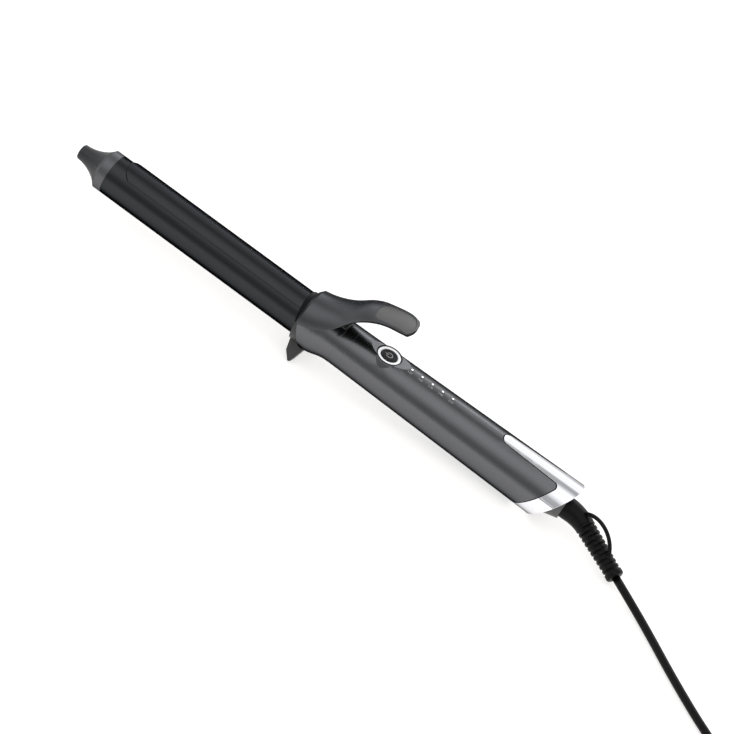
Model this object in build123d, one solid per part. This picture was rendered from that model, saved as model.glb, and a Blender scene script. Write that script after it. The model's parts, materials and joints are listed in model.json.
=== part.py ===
from build123d import *
import math
import os

os.makedirs("parts", exist_ok=True)

# A curling iron with a sprung clamp, a power button and a cord that turns in the handle's end.
# The pieces are drawn along the barrel: X from the tip to the cord, Z towards the button.
# At the end everything is tilted so that the stand's feet and the handle's end touch the table.

# Sizes in millimetres. Barrel and tip
barrel_diameter = 25.0
barrel_wall = 0.8
barrel_exposed = 140.0
barrel_inset = 11.2
tip_length = 15.6
tip_end_diameter = 9.4
tip_waist_diameter = 12.0
tip_base_diameter = 20.4
tip_edge = 1.2
ring_length = 7.5
ring_cone = 2.2
ring_spigot = 6.0
tip_screw_diameter = 2.0

# Heater
heater_length = 100.0
heater_width = 12.0
heater_thickness = 2.4
carrier_wall = 1.6
carrier_overhang = 4.0
heater_setback = 14.0
fuse_diameter = 4.0
fuse_length = 11.0
bead_diameter = 2.4
bead_length = 4.0
wire_diameter = 1.6

# Clamp blade and lever
blade_setback = 6.3
blade_thickness = 0.8
blade_half_width = 9.0
blade_nose_radius = 6.0
blade_tail = 6.8
insulator_thickness = 1.5
insulator_proud = 1.6
insulator_lip = 0.5
hood_setback = 4.8
hood_overhang = 0.5
hood_wall = 1.8
hood_edge = 1.5
hood_nose = 3.8
hood_side_slope = 0.26
thumb_rest_reach = 56.0
thumb_rest_round = 3.6
thumb_rest_corner = 2.5
pad_length = 20.0
pad_rim = 1.5
pad_depth = 0.4
rivet_diameter = 2.4
rivet_spacing = 4.6

# Hinge
pin_diameter = 2.4
pin_height = 15.6
pin_setback = 11.0
pin_half_length = 8.8
ear_thickness = 0.9
ear_half_span = 5.8
ear_radius = 2.0
hinge_boss_radius = 2.2
hinge_boss_width = 2.5
spring_wire = 0.8
spring_turns = 6
bracket_reach = 11.0
bracket_screw_diameter = 2.0

# Stand
collar_diameter = 30.0
collar_length = 3.0
collar_open_height = 7.5
stand_spigot_wall = 1.4
stand_spigot_setback = 2.6
leg_angle = 30.0
leg_width = 5.5
leg_reach = 26.3
toe_drop = 22.3
toe_setback = 4.0

# Handle
bell_diameter = 32.8
bell_straight = 4.5
bell_length = 22.5
rim_slope = 0.378
neck_length = 29.4
neck_bore = 21.0
neck_core_wall = 0.9
neck_spigot = 8.0
neck_top_flat = 13.1
grip_front_diameter = 27.0
grip_rear_diameter = 31.2
grip_length = 141.0
grip_wall = 2.0
end_slope = 0.66
handle_screw_diameter = 2.6

# Power button and lights
button_setback = 20.5
button_plane = 12.4
button_diameter = 10.3
button_flange = 0.9
button_travel = 0.7
groove_radii = (2.6, 3.8)
groove_width = 0.4
groove_depth = 0.2
ring_outer_diameter = 14.0
ring_inner_diameter = 11.0
bezel_diameter = 15.4
bezel_depth = 3.9
dish_radius = 60.0
boss_land = 0.5
boss_slope = 1.65
light_count = 5
light_pitch = 7.0
light_offset = 15.2
light_diameter = 1.2

# Circuit board
board_length = 59.0
board_width = 18.0
board_thickness = 1.6
board_height = 2.4
board_setback = 10.5
rail_width = 3.5
rail_depth = 2.0
switch_size = 6.2
switch_height = 3.4
board_screw_diameter = 1.8

# End trim, end cap and swivel
trim_width = 10.0
trim_thickness = 1.9
tongue_thickness = 1.2
tongue_length = 42.0
tongue_front_width = 8.0
tongue_rear_width = 11.4
tongue_corner = 3.0
nozzle_tip_diameter = 16.0
nozzle_taper = 0.242
nozzle_reach = 7.1
cap_recess = 2.0
cap_spigot = 18.0
boot_diameter = 13.2
boot_reach = 9.5
boot_flange_diameter = 17.2
boot_flange_length = 4.7
spool_diameter = 8.4
spool_length = 14.0
keeper_thickness = 2.2
keeper_diameter = 23.0
keeper_screw_diameter = 1.8
slip_ring_width = 2.5
slip_ring_thickness = 1.2
contact_thickness = 0.4
contact_width = 3.0

# Bend sleeve and hanging loop
sleeve_turn = 23.7
sleeve_dip = 9.3
sleeve_start = 6.2
rib_count = 10
rib_pitch = 3.05
rib_first_diameter = 11.5
rib_last_diameter = 10.0
sleeve_core_diameter = 8.2
sleeve_collar_length = 3.5
sleeve_collar_diameter = 10.4
loop_wire = 2.3
loop_height = 12.3
loop_lead = 7.0
loop_reach = 23.7

# Cord, coil, tie and plug
cord_diameter = 4.7
coil_radius = 39.0
coil_turns = 8.3417
coil_pitch = 5.2
coil_tail = 22.0
tie_width = 6.0
tie_thickness = 0.8
tie_place = 240.0
plug_length = 36.0
plug_width = 35.3
plug_height = 13.7
plug_neck_width = 12.0
plug_neck_height = 10.0
plug_face_length = 12.0
plug_pin_diameter = 4.0
plug_pin_length = 19.0
plug_pin_spacing = 18.6
plug_pin_root = 8.0

# Clearances
seat_gap = 0.1
move_gap = 0.3
pin_gap = 0.05
rim_gap = 0.7
trim_line = 0.6

# The free cord's points, in plan from the sleeve's end, with the height over the table
cord_route = [
    (15.0, -7.6, 3.6),
    (33.0, -19.6, 2.5),
    (57.0, -38.5, 2.5),
    (85.0, -58.5, 2.5),
    (112.0, -74.8, 3.55),
    (131.2, -87.3, 3.55),
]

# Stations along the axis
ring_x = tip_length
barrel_x = ring_x + ring_length
mouth_x = barrel_x + barrel_exposed
barrel_end_x = mouth_x + barrel_inset
seam_x = mouth_x + neck_length
end_x = seam_x + grip_length
trim_x = end_x - trim_width
collar_x = mouth_x - collar_length
pin_x = mouth_x + pin_setback
hood_x = mouth_x - hood_setback
blade_x = barrel_x + blade_setback
button_x = seam_x + button_setback
board_x = seam_x + board_setback
nozzle_x = end_x + nozzle_reach
bend_x = nozzle_x + boot_reach

# Radii
barrel_radius = barrel_diameter / 2
barrel_bore = barrel_radius - barrel_wall
blade_radius = barrel_radius + move_gap
insulator_radius = blade_radius + blade_thickness + seat_gap
hood_radius = insulator_radius + insulator_thickness + move_gap
bell_radius = bell_diameter / 2
cord_radius = cord_diameter / 2
grip_taper = (grip_rear_diameter - grip_front_diameter) / 2 / grip_length


def grip_radius(x):
    """Outer radius of the tapered grip at x."""
    return grip_front_diameter / 2 + (x - seam_x) * grip_taper


def turned(points):
    """Solid of revolution about X from (x, radius) corners."""
    return revolve(make_face(Polyline(*points, close=True)), Axis.X)


def rod(x0, x1, radius, y=0.0, z=0.0):
    """Round bar along X."""
    return Pos((x0 + x1) / 2, y, z) * Rot(0, 90, 0) * Cylinder(radius, x1 - x0)


def post(x, y, z0, z1, radius):
    """Round bar along Z."""
    return Pos(x, y, (z0 + z1) / 2) * Cylinder(radius, z1 - z0)


def cross_bar(x, z, y0, y1, radius):
    """Round bar along Y."""
    return Pos(x, (y0 + y1) / 2, z) * Rot(90, 0, 0) * Cylinder(radius, y1 - y0)


def block(x0, x1, y0, y1, z0, z1):
    """Box between two corners."""
    return Pos((x0 + x1) / 2, (y0 + y1) / 2, (z0 + z1) / 2) * Box(x1 - x0, y1 - y0, z1 - z0)


def side_plate(points, y0, y1):
    """Plate with an outline in the XZ plane, from y0 to y1."""
    outline = Polyline(*[(x, y0, z) for x, z in points], close=True)
    return extrude(make_face(outline), amount=y1 - y0, dir=(0, 1, 0))


def plan_plate(outline, z0, z1):
    """Plate with a plan outline of edges in the XY plane, from z0 to z1."""
    return Pos(0, 0, z0) * extrude(make_face(outline), amount=z1 - z0, dir=(0, 0, 1))


def beyond(x, slope):
    """Large block behind the plane x + slope * z."""
    size = 4 * end_x
    plane = Plane(origin=(x, 0, 0), x_dir=(0, 1, 0), z_dir=(1, 0, -slope))
    return plane * Pos(0, 0, size / 2) * Box(size, size, size)


def before(x, slope):
    """Large block in front of the plane x + slope * z."""
    size = 4 * end_x
    plane = Plane(origin=(x, 0, 0), x_dir=(0, 1, 0), z_dir=(1, 0, -slope))
    return plane * Pos(0, 0, -size / 2) * Box(size, size, size)


def tube_along(path, radius):
    """Round tube along a path of straight runs and arcs."""
    start = path ^ 0
    return sweep(start * Circle(radius), path=path)


def biarc(p0, t0, p1, t1):
    """Two arcs from p0 to p1 that leave along t0 and arrive along t1."""
    span = p1 - p0
    both = t0 + t1
    a = 2 * (1 - t0.dot(t1))
    b = span.dot(both)
    reach = span.dot(span) / (b + math.sqrt(b * b + a * span.dot(span)))
    middle = (p0 + p1 + (t0 - t1) * reach) * 0.5
    first = TangentArc(p0, middle, tangent=t0)
    second = TangentArc(middle, p1, tangent=first % 1)
    return [first, second]


# Tip
tip_spigot_radius = tip_base_diameter * 0.3
tip_spigot_x = ring_x + ring_length * 0.4
ring_floor_x = ring_x + ring_length * 0.75
tip_screw_radius = tip_screw_diameter / 2


def make_cool_tip():
    end_radius = tip_end_diameter / 2
    nose = ThreePointArc(
        (0, end_radius - tip_edge),
        (tip_edge * 0.3, end_radius - tip_edge * 0.3),
        (tip_edge, end_radius),
    )
    flare = ThreePointArc(
        (tip_edge, end_radius),
        (tip_length * 0.52, tip_waist_diameter / 2),
        (tip_length, tip_base_diameter / 2),
    )
    back = Polyline(
        (tip_length, tip_base_diameter / 2),
        (tip_length, tip_spigot_radius),
        (tip_spigot_x, tip_spigot_radius),
        (tip_spigot_x, 0),
        (0, 0),
        (0, end_radius - tip_edge),
    )
    body = revolve(make_face([nose, flare, back]), Axis.X)
    return body - rod(tip_length / 2, tip_spigot_x, tip_screw_radius + pin_gap)


def make_tip_ring():
    edge = ring_cone * 0.15
    hole = tip_screw_radius + seat_gap * 3
    socket = tip_spigot_radius + seat_gap
    spigot = barrel_bore - seat_gap
    return turned(
        [
            (ring_x, socket),
            (ring_x, tip_base_diameter / 2),
            (ring_x + ring_cone - edge, barrel_radius - edge),
            (ring_x + ring_cone, barrel_radius),
            (barrel_x, barrel_radius),
            (barrel_x, spigot),
            (barrel_x + ring_spigot, spigot),
            (barrel_x + ring_spigot, spigot - barrel_wall * 2),
            (ring_floor_x, spigot - barrel_wall * 2),
            (ring_floor_x, hole),
            (tip_spigot_x + seat_gap, hole),
            (tip_spigot_x + seat_gap, socket),
        ]
    )


def make_tip_screw():
    head = rod(ring_floor_x, ring_floor_x + tip_screw_radius * 1.6, tip_screw_radius * 2)
    return head + rod(tip_length * 0.6, ring_floor_x, tip_screw_radius)


def make_barrel():
    return rod(barrel_x, barrel_end_x, barrel_radius) - rod(barrel_x, barrel_end_x, barrel_bore)


# Heater
heater_x = barrel_x + heater_setback
heater_end_x = heater_x + heater_length
heater_half = heater_thickness / 2
fuse_x = heater_end_x + carrier_overhang + bead_length + fuse_length / 2


def make_ceramic_heater():
    half = heater_width / 2
    return block(heater_x, heater_end_x, -half, half, -heater_half, heater_half)


def make_heater_carriers():
    """Two D-shaped extrusions that press the heater's heat into the barrel."""
    x0 = heater_x - carrier_overhang
    x1 = heater_end_x + carrier_overhang
    outer = barrel_bore - seat_gap
    flat = heater_half + seat_gap
    shell = rod(x0, x1, outer)
    hollow = rod(x0, x1, outer - carrier_wall)
    upper = shell & block(x0, x1, -outer, outer, flat, outer)
    core = hollow & block(x0, x1, -outer, outer, flat + carrier_wall, outer)
    upper = upper - core
    return [upper, Rot(180, 0, 0) * upper]


def make_thermistor():
    return rod(heater_end_x + seat_gap, heater_end_x + bead_length, bead_diameter / 2)


def make_thermal_fuse():
    height = barrel_bore - seat_gap - fuse_diameter / 2
    return rod(fuse_x, fuse_x + fuse_length, fuse_diameter / 2, z=-height)


def make_heater_wires():
    """Two leads from the heater's end up to the front edge of the board."""
    half = wire_diameter / 2
    side = heater_width / 4
    rise_x = mouth_x + barrel_inset + wire_diameter * 3
    level = board_height + board_thickness / 2
    wires = []
    for y in (-side, side):
        points = [
            (heater_end_x, y, 0),
            (rise_x, y, 0),
            (rise_x + wire_diameter * 4, y, level),
            (board_x, y, level),
        ]
        wires.append(tube_along(FilletPolyline(*points, radius=wire_diameter * 3), half * 0.7))
    return wires


# Clamp. Each station of the lever holds: distance behind the hood's front, crown height,
# how much narrower than the hood it is on each side, edge height, roof and edge thickness
lever_stations = [
    (0.0, 17.7, 0.0, 4.7, 2.0, 0.0),
    (4.0, 18.4, 0.0, 5.4, 2.5, 0.0),
    (10.7, 20.3, 0.1, 7.6, 3.6, 0.0),
    (15.7, 22.5, 0.2, 10.3, 3.8, 0.1),
    (20.7, 25.4, 0.3, 14.5, 3.5, 0.3),
    (25.2, 28.8, 0.8, 20.4, 3.0, 0.8),
    (29.7, 32.4, 2.3, 26.8, 2.9, 1.5),
    (34.7, 34.5, 4.1, 31.3, 3.0, 2.1),
    (40.7, 36.2, 5.9, 34.6, 3.1, 2.4),
    (47.7, 38.1, 6.8, 37.0, 3.2, 2.5),
    (54.7, 39.0, 7.4, 38.0, 3.2, 2.5),
    (62.7, 40.2, 7.8, 39.3, 3.2, 2.5),
]
hood_half_width = bell_radius + hood_overhang
rest_end_x = mouth_x + thumb_rest_reach
lever_top = lever_stations[-1][1] + hood_wall
blade_tail_x = mouth_x + blade_tail
insulator_x = hood_x - insulator_proud
rivet_x = hood_x + hood_nose * 1.2
rivet_radius = rivet_diameter / 2
rivet_top = hood_radius + hood_wall
boss_start = ear_half_span + move_gap


def rivet_holes():
    holes = []
    for step in range(2):
        x = rivet_x + step * rivet_spacing
        holes.append(post(x, 0, 0, rivet_top + pin_gap, rivet_radius + pin_gap))
    return holes


def make_clamp_blade():
    outer = rod(blade_x, blade_tail_x, blade_radius + blade_thickness)
    sheet = outer - rod(blade_x, blade_tail_x, blade_radius)
    half = blade_half_width
    soft = blade_nose_radius
    plan = Polyline(
        (blade_x + soft, half),
        (blade_tail_x, half),
        (blade_tail_x, -half),
        (blade_x + soft, -half),
    )
    nose = ThreePointArc((blade_x + soft, -half), (blade_x, 0), (blade_x + soft, half))
    return (sheet & plan_plate([plan, nose], 0, hood_radius)) - rivet_holes()


def hood_front(x, height):
    """Block ahead of the leaning front edge that passes x at the given height."""
    return before(x + hood_side_slope * height, -hood_side_slope)


def make_lever_insulator():
    outer = insulator_radius + insulator_thickness
    lip_end = collar_x - move_gap
    # thin at its front edge, full under the hood
    sloped = [
        (insulator_x, 0),
        (insulator_x, insulator_radius + insulator_lip),
        (hood_x + hood_nose, outer),
        (blade_tail_x, outer),
        (blade_tail_x, 0),
    ]
    arch = turned(sloped) - rod(insulator_x, blade_tail_x, insulator_radius)
    low = block(insulator_x, lip_end, -outer, outer, collar_open_height / 2, outer)
    high = block(insulator_x, blade_tail_x, -blade_half_width, blade_half_width, 0, outer)
    arch = arch & (low + high)
    return arch - hood_front(insulator_x, insulator_radius) - rivet_holes()


def lever_section(station):
    back, crown, narrowing, edge, roof, rim = station
    x = hood_x + back
    outer = hood_half_width - narrowing
    inner = outer - hood_edge
    over = ThreePointArc((x, -outer, edge), (x, 0, crown), (x, outer, edge))
    right = Line((x, outer, edge), (x, inner, edge - rim))
    under = ThreePointArc((x, inner, edge - rim), (x, 0, crown - roof), (x, -inner, edge - rim))
    left = Line((x, -inner, edge - rim), (x, -outer, edge))
    return make_face([over, right, under, left])


def rest_plan(inset, front_x):
    """Plan of the thumb rest's end: straight sides and a round end, a given distance inside it."""
    back, _, narrowing, *_ = lever_stations[-2]
    far_back, _, far_narrowing, *_ = lever_stations[-1]
    taper = (far_narrowing - narrowing) / (far_back - back)
    corner_x = rest_end_x - thumb_rest_round - inset

    def half(x):
        return hood_half_width - narrowing - taper * (x - hood_x - back) - inset

    sides = Polyline(
        (corner_x, -half(corner_x)),
        (front_x, -half(front_x)),
        (front_x, half(front_x)),
        (corner_x, half(corner_x)),
    )
    round_end = ThreePointArc(
        (corner_x, half(corner_x)),
        (rest_end_x - inset, 0),
        (corner_x, -half(corner_x)),
    )
    plan = make_face([sides, round_end])
    return plan, half(front_x)


def make_thumb_lever():
    arm = loft([lever_section(station) for station in lever_stations])
    # the nose slopes down to the blade, and the sides of the front edge lean back
    low = insulator_radius + insulator_thickness * 0.5
    high = lever_stations[1][1] + move_gap
    nose_x = hood_x + hood_nose
    nose = [(hood_x, 0), (hood_x, low), (nose_x, high), (nose_x, lever_top), (end_x, lever_top), (end_x, 0)]
    arm = arm & turned(nose)
    arm = arm - hood_front(hood_x, low)
    # the thumb rest ends in a round, with a shallow pad on top
    round_x = hood_x + lever_stations[-2][0]
    end_plan, _ = rest_plan(-seat_gap, round_x)
    end_plan = fillet(end_plan.vertices().sort_by(Axis.X)[-2:], thumb_rest_corner)
    end_block = extrude(end_plan, amount=lever_top, dir=(0, 0, 1))
    arm = arm & (block(0, round_x, -bell_diameter, bell_diameter, 0, lever_top) + end_block)
    pad_x = rest_end_x - pad_length
    pad_plan, pad_half = rest_plan(pad_rim, pad_x)
    pad_plan = pad_plan + Pos(pad_x, 0) * Ellipse(pad_half / 2, pad_half)
    pad = extrude(pad_plan, amount=lever_top, dir=(0, 0, 1)) & arm
    arm = arm - (pad - Pos(0, 0, -pad_depth) * arm)
    # hinge bosses, with a pocket for the bracket's ears and the spring
    for side in (-1, 1):
        y0 = side * boss_start
        y1 = side * (boss_start + hinge_boss_width)
        boss = cross_bar(pin_x, pin_height, min(y0, y1), max(y0, y1), hinge_boss_radius)
        web = block(
            pin_x - hinge_boss_radius,
            pin_x + hinge_boss_radius,
            min(y0, y1),
            max(y0, y1),
            pin_height,
            pin_height + hinge_boss_radius * 1.4,
        )
        arm = arm + boss + web
    arm = arm - cross_bar(pin_x, pin_height, -boss_start, boss_start, ear_radius + move_gap * 1.3)
    spring_room = pin_diameter / 2 + spring_wire + move_gap * 3
    inner = ear_half_span - ear_thickness - move_gap / 3
    arm = arm - cross_bar(pin_x, pin_height, -inner, inner, spring_room)
    reach = pin_half_length + seat_gap
    arm = arm - cross_bar(pin_x, pin_height, -reach, reach, pin_diameter / 2 + pin_gap)
    return arm - rivet_holes()


def make_lever_rivets():
    rivets = []
    for step in range(2):
        x = rivet_x + step * rivet_spacing
        rivets.append(post(x, 0, blade_radius + pin_gap, rivet_top, rivet_radius))
    return rivets


# Hinge
bracket_end_x = pin_x + bracket_reach
bracket_base_x = pin_x + ear_radius + move_gap * 4
bracket_top = neck_top_flat + ear_thickness
bracket_screw_x = (bracket_base_x + bracket_end_x) / 2
bracket_screw_y = ear_half_span / 2
bracket_screw_radius = bracket_screw_diameter / 2


def make_hinge_bracket():
    foot = neck_top_flat
    ear_outline = [
        (pin_x - ear_radius, foot),
        (bracket_end_x, foot),
        (bracket_end_x, bracket_top),
        (pin_x + ear_radius, pin_height - ear_radius / 2),
        (pin_x + ear_radius, pin_height),
        (pin_x - ear_radius, pin_height),
    ]
    base = block(bracket_base_x, bracket_end_x, -ear_half_span, ear_half_span, foot, bracket_top)
    bracket = base
    for side in (-1, 1):
        y0 = min(side * ear_half_span, side * (ear_half_span - ear_thickness))
        y1 = y0 + ear_thickness
        bracket = bracket + side_plate(ear_outline, y0, y1)
        bracket = bracket + cross_bar(pin_x, pin_height, y0, y1, ear_radius)
        bracket = bracket - post(
            bracket_screw_x,
            side * bracket_screw_y,
            foot,
            bracket_top,
            bracket_screw_radius + seat_gap,
        )
    bore = pin_diameter / 2 + pin_gap
    return bracket - cross_bar(pin_x, pin_height, -ear_half_span, ear_half_span, bore)


def make_bracket_screws():
    screws = []
    for side in (-1, 1):
        y = side * bracket_screw_y
        head_top = bracket_top + bracket_screw_radius * 1.2
        head = post(bracket_screw_x, y, bracket_top, head_top, bracket_screw_radius * 1.9)
        shank = post(bracket_screw_x, y, neck_bore / 2, bracket_top, bracket_screw_radius)
        screws.append(head + shank)
    return screws


def make_hinge_pin():
    return cross_bar(pin_x, pin_height, -pin_half_length, pin_half_length, pin_diameter / 2)


def make_clamp_spring():
    """Torsion spring round the pin: a leg on the neck and a leg under the lever."""
    radius = pin_diameter / 2 + move_gap + spring_wire / 2
    width = (ear_half_span - ear_thickness) * 2 - spring_wire - move_gap * 2
    push = 50.0
    turn = 360 * spring_turns + push
    steps = 2 * spring_turns + 1
    pitch = width / math.radians(turn)

    def at(angle):
        a = math.radians(angle)
        place = Vector(
            pin_x + radius * math.sin(a),
            width / 2 - pitch * a,
            pin_height - radius * math.cos(a),
        )
        drift = pitch if 0 < angle < turn else 0.0
        heading = Vector(radius * math.cos(a), -drift, radius * math.sin(a)).normalized()
        return place, heading

    edges = []
    marks = [turn * i / steps for i in range(steps + 1)]
    for a, b in zip(marks, marks[1:]):
        p0, t0 = at(a)
        p1, t1 = at(b)
        edges += biarc(p0, t0, p1, t1)
    first, out = at(marks[0])
    last, away = at(marks[-1])
    lead = Line(first - out * spring_wire * 4, first)
    tail = Line(last, last + away * spring_wire * 6.5)
    return tube_along(Wire([lead, *edges, tail]), spring_wire / 2)


# Stand and neck
def rim_x(z):
    """The slanted face where the handle's mouth meets the stand."""
    return mouth_x + rim_slope * seat_gap * 5 - rim_slope * z


def bell_curve():
    """The bell's outline falls to the grip's line in two equal arcs."""
    x0 = mouth_x + bell_straight
    x1 = mouth_x + bell_length
    r0 = bell_radius
    r1 = grip_front_diameter / 2 - (seam_x - x1) * grip_taper
    middle = ((x0 + x1) / 2, (r0 + r1) / 2)
    shoulder = TangentArc((x0, r0), middle, tangent=(1, 0))
    waist = TangentArc((x1, r1), middle, tangent=(-1, 0))
    return [shoulder, waist], (x0, r0), (x1, r1)


def bell_body(start_x):
    """Solid bell from start_x to the seam."""
    arcs, top, foot = bell_curve()
    rest = Polyline(
        foot,
        (seam_x, grip_front_diameter / 2),
        (seam_x, 0),
        (start_x, 0),
        (start_x, bell_radius),
        top,
    )
    return revolve(make_face([*arcs, rest]), Axis.X)


spigot_radius = barrel_radius + seat_gap + stand_spigot_wall
spigot_end_x = mouth_x + barrel_inset - stand_spigot_setback
core_radius = barrel_radius + seat_gap + neck_core_wall


def hood_room():
    """The hood's room in the neck, above a line just under the hood's lower edge."""
    line = [(hood_x + station[0], station[3] - rim_gap) for station in lever_stations[:5]]
    front = (collar_x - bell_radius, line[0][1])
    corners = [(line[-1][0], bell_diameter), (front[0], bell_diameter)]
    return side_plate([front, *line, *corners], -bell_diameter, bell_diameter)


def make_handle_neck():
    start = collar_x - bell_diameter
    neck = bell_body(start) - before(rim_x(0), -rim_slope)
    core = rod(spigot_end_x + seat_gap, mouth_x + bell_length, core_radius)
    neck = (neck - hood_room()) + core
    flat = block(
        collar_x,
        bracket_end_x + move_gap,
        -bell_diameter,
        bell_diameter,
        neck_top_flat,
        bell_diameter,
    )
    neck = neck - flat
    spigot = grip_front_diameter / 2 - grip_wall - seat_gap
    neck = neck + rod(seam_x, seam_x + neck_spigot, spigot)
    neck = neck - rod(start, spigot_end_x + seat_gap, spigot_radius + seat_gap)
    neck = neck - rod(start, barrel_end_x + seat_gap, barrel_radius + seat_gap)
    neck = neck - rod(start, seam_x + neck_spigot, neck_bore / 2)
    for side in (-1, 1):
        y = side * bracket_screw_y
        hole = post(bracket_screw_x, y, 0, neck_top_flat, bracket_screw_radius + pin_gap)
        neck = neck - hole
    screw_room = handle_screw_diameter / 2 + pin_gap
    return neck - post(front_screw_x, 0, -grip_front_diameter, 0, screw_room)


def make_stand():
    collar = rod(collar_x, spigot_end_x, collar_diameter / 2)
    collar = collar - beyond(rim_x(0), -rim_slope)
    spigot = rod(collar_x, spigot_end_x, spigot_radius)
    leg_outline = [
        (collar_x, -barrel_radius),
        (collar_x + collar_length * 0.8, -(leg_reach - toe_setback * 1.2)),
        (mouth_x + toe_setback * 0.9, -leg_reach),
        (mouth_x + toe_setback * 1.2, -leg_reach + seat_gap * 5),
        (mouth_x + toe_setback * 1.85, -bell_radius - move_gap * 2),
        (mouth_x + toe_setback * 1.6, -barrel_radius),
    ]
    leg = side_plate(leg_outline, -leg_width / 2, leg_width / 2)
    neck_room = bell_body(collar_x) - before(rim_x(0), -rim_slope)
    legs = (Rot(leg_angle, 0, 0) * leg) + (Rot(-leg_angle, 0, 0) * leg)
    stand = (collar + legs - neck_room) + spigot
    stand = stand - rod(collar_x - collar_length, spigot_end_x, barrel_radius + seat_gap)
    open_top = block(
        collar_x - collar_length,
        seam_x,
        -bell_diameter,
        bell_diameter,
        collar_open_height,
        bell_diameter,
    )
    return stand - open_top - under_floor()


# The table under the feet and under the lowest corner of the end trim, in the drawing frame
toe_x = mouth_x + toe_setback
heel_x = end_x - end_slope * grip_radius(end_x) / (1 + end_slope * grip_taper)
heel_z = -grip_radius(heel_x)
floor_slope = (heel_z + toe_drop) / (heel_x - toe_x)
table_tilt = math.degrees(math.atan(floor_slope))


def under_floor():
    """Large block under the table."""
    size = 4 * end_x
    plane = Plane(origin=(toe_x, 0, -toe_drop), x_dir=(0, 1, 0), z_dir=(floor_slope, 0, -1))
    return plane * Pos(0, 0, size / 2) * Box(size, size, size)


# Grip, button and lights
front_screw_x = seam_x + neck_spigot / 2
rear_screw_x = trim_x - cap_spigot
bezel_radius = bezel_diameter / 2
bezel_foot = button_plane - bezel_depth
light_x = [button_x + light_offset + light_pitch * i for i in range(light_count)]
board_top = board_height + board_thickness
board_half = board_width / 2
board_screw_places = [
    (board_x + rail_width, board_half - rail_width / 2),
    (board_x + board_length - rail_width, -board_half + rail_width / 2),
]
ring_shelf = bezel_foot + bezel_depth * 0.25


def grip_solid(x0, x1, inset=0.0):
    """Solid cone that follows the grip's outside, a given depth under it."""
    return turned([(x0, 0), (x0, grip_radius(x0) - inset), (x1, grip_radius(x1) - inset), (x1, 0)])


def tongue_outline(grow):
    """Plan of the end trim's tongue, with a round front and flared rear corners."""
    front = tongue_front_width / 2 + grow
    rear = tongue_rear_width / 2 + grow
    corner = tongue_corner - grow
    tip_x = end_x - tongue_length - grow
    x0 = tip_x + front
    flare_x = trim_x + end_slope * grip_radius(trim_x) - tongue_corner * 1.6 - grow
    last_x = flare_x + tongue_corner
    wide = rear + corner
    half = math.sqrt(0.5)
    nose = ThreePointArc((x0, -front), (tip_x, 0), (x0, front))
    far = Line((x0, front), (flare_x, rear))
    far_corner = ThreePointArc(
        (flare_x, rear),
        (flare_x + tongue_corner * half, rear + corner * (1 - half)),
        (last_x, wide),
    )
    rear_x = last_x + bell_radius
    back = Polyline((last_x, wide), (rear_x, wide), (rear_x, -wide), (last_x, -wide))
    near_corner = ThreePointArc(
        (last_x, -wide),
        (flare_x + tongue_corner * half, -rear - corner * (1 - half)),
        (flare_x, -rear),
    )
    near = Line((flare_x, -rear), (x0, -front))
    return [nose, far, far_corner, back, near_corner, near]


def make_handle_body():
    grip = grip_solid(seam_x, end_x) - beyond(trim_x - trim_line, end_slope)
    far_x = end_x + end_slope * grip_rear_diameter
    tongue_room = plan_plate(tongue_outline(trim_line), 0, bell_diameter)
    tongue_room = tongue_room - grip_solid(seam_x, far_x, tongue_thickness + seat_gap)
    grip = grip - tongue_room - grip_solid(seam_x, end_x, grip_wall)
    # rails that carry the board
    rail_top = board_height - seat_gap
    for side in (-1, 1):
        y0 = side * (board_half - rail_width)
        y1 = side * bell_radius
        rail = block(
            board_x,
            board_x + board_length,
            min(y0, y1),
            max(y0, y1),
            rail_top - rail_depth,
            rail_top,
        )
        grip = grip + (rail & grip_solid(seam_x, end_x, grip_wall / 2))
    for x, y in board_screw_places:
        grip = grip - post(x, y, rail_top - rail_depth, rail_top, board_screw_diameter / 2 + pin_gap)
    # shallow dish and hole for the button, holes for the lights
    dish_z = button_plane + dish_radius
    grip = grip - cross_bar(button_x, dish_z, -bell_radius, bell_radius, dish_radius)
    # raised boss whose flanks run down to the sides of the grip
    boss_top = bezel_radius + seat_gap + boss_land
    boss_height = button_plane / 2
    boss_foot = boss_top + boss_height / boss_slope
    boss = Pos(button_x, 0, button_plane - boss_height / 2) * Cone(boss_foot, boss_top, boss_height)
    grip = grip + (boss - grip_solid(seam_x, end_x, grip_wall / 2))
    grip = grip - post(button_x, 0, board_top, bell_diameter, bezel_radius + seat_gap)
    for x in light_x:
        grip = grip - post(x, 0, board_top, bell_diameter, light_diameter / 2 + pin_gap)
    for x in (front_screw_x, rear_screw_x):
        grip = grip - handle_screw_at(x, seat_gap)
    return grip


def handle_screw_at(x, grow):
    """Countersunk screw from below, flush with the grip."""
    skin = -grip_radius(x) + seat_gap
    radius = handle_screw_diameter / 2 + grow
    head = handle_screw_diameter * 0.9 + grow
    depth = handle_screw_diameter * 0.4
    land = grip_wall * 0.15
    points = [
        (0, skin - grow * 10),
        (head, skin - grow * 10),
        (head, skin + land),
        (radius, skin + land + depth),
        (radius, skin + grip_wall * 2.2),
        (0, skin + grip_wall * 2.2),
    ]
    outline = Polyline(*[(r, 0, z) for r, z in points], close=True)
    return Pos(x, 0, 0) * revolve(make_face(outline), Axis.Z)


def make_handle_screws():
    return [handle_screw_at(x, 0.0) for x in (front_screw_x, rear_screw_x)]


def make_button_bezel():
    rim = post(button_x, 0, bezel_foot, button_plane + seat_gap * 3, bezel_radius)
    rim = chamfer(rim.edges().group_by(Axis.Z)[-1], seat_gap * 3)
    pocket = ring_outer_diameter / 2 + seat_gap
    rim = rim - post(button_x, 0, ring_shelf, bell_diameter, pocket)
    return rim - post(button_x, 0, 0, bell_diameter, pocket - bezel_depth * 0.2)


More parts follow.
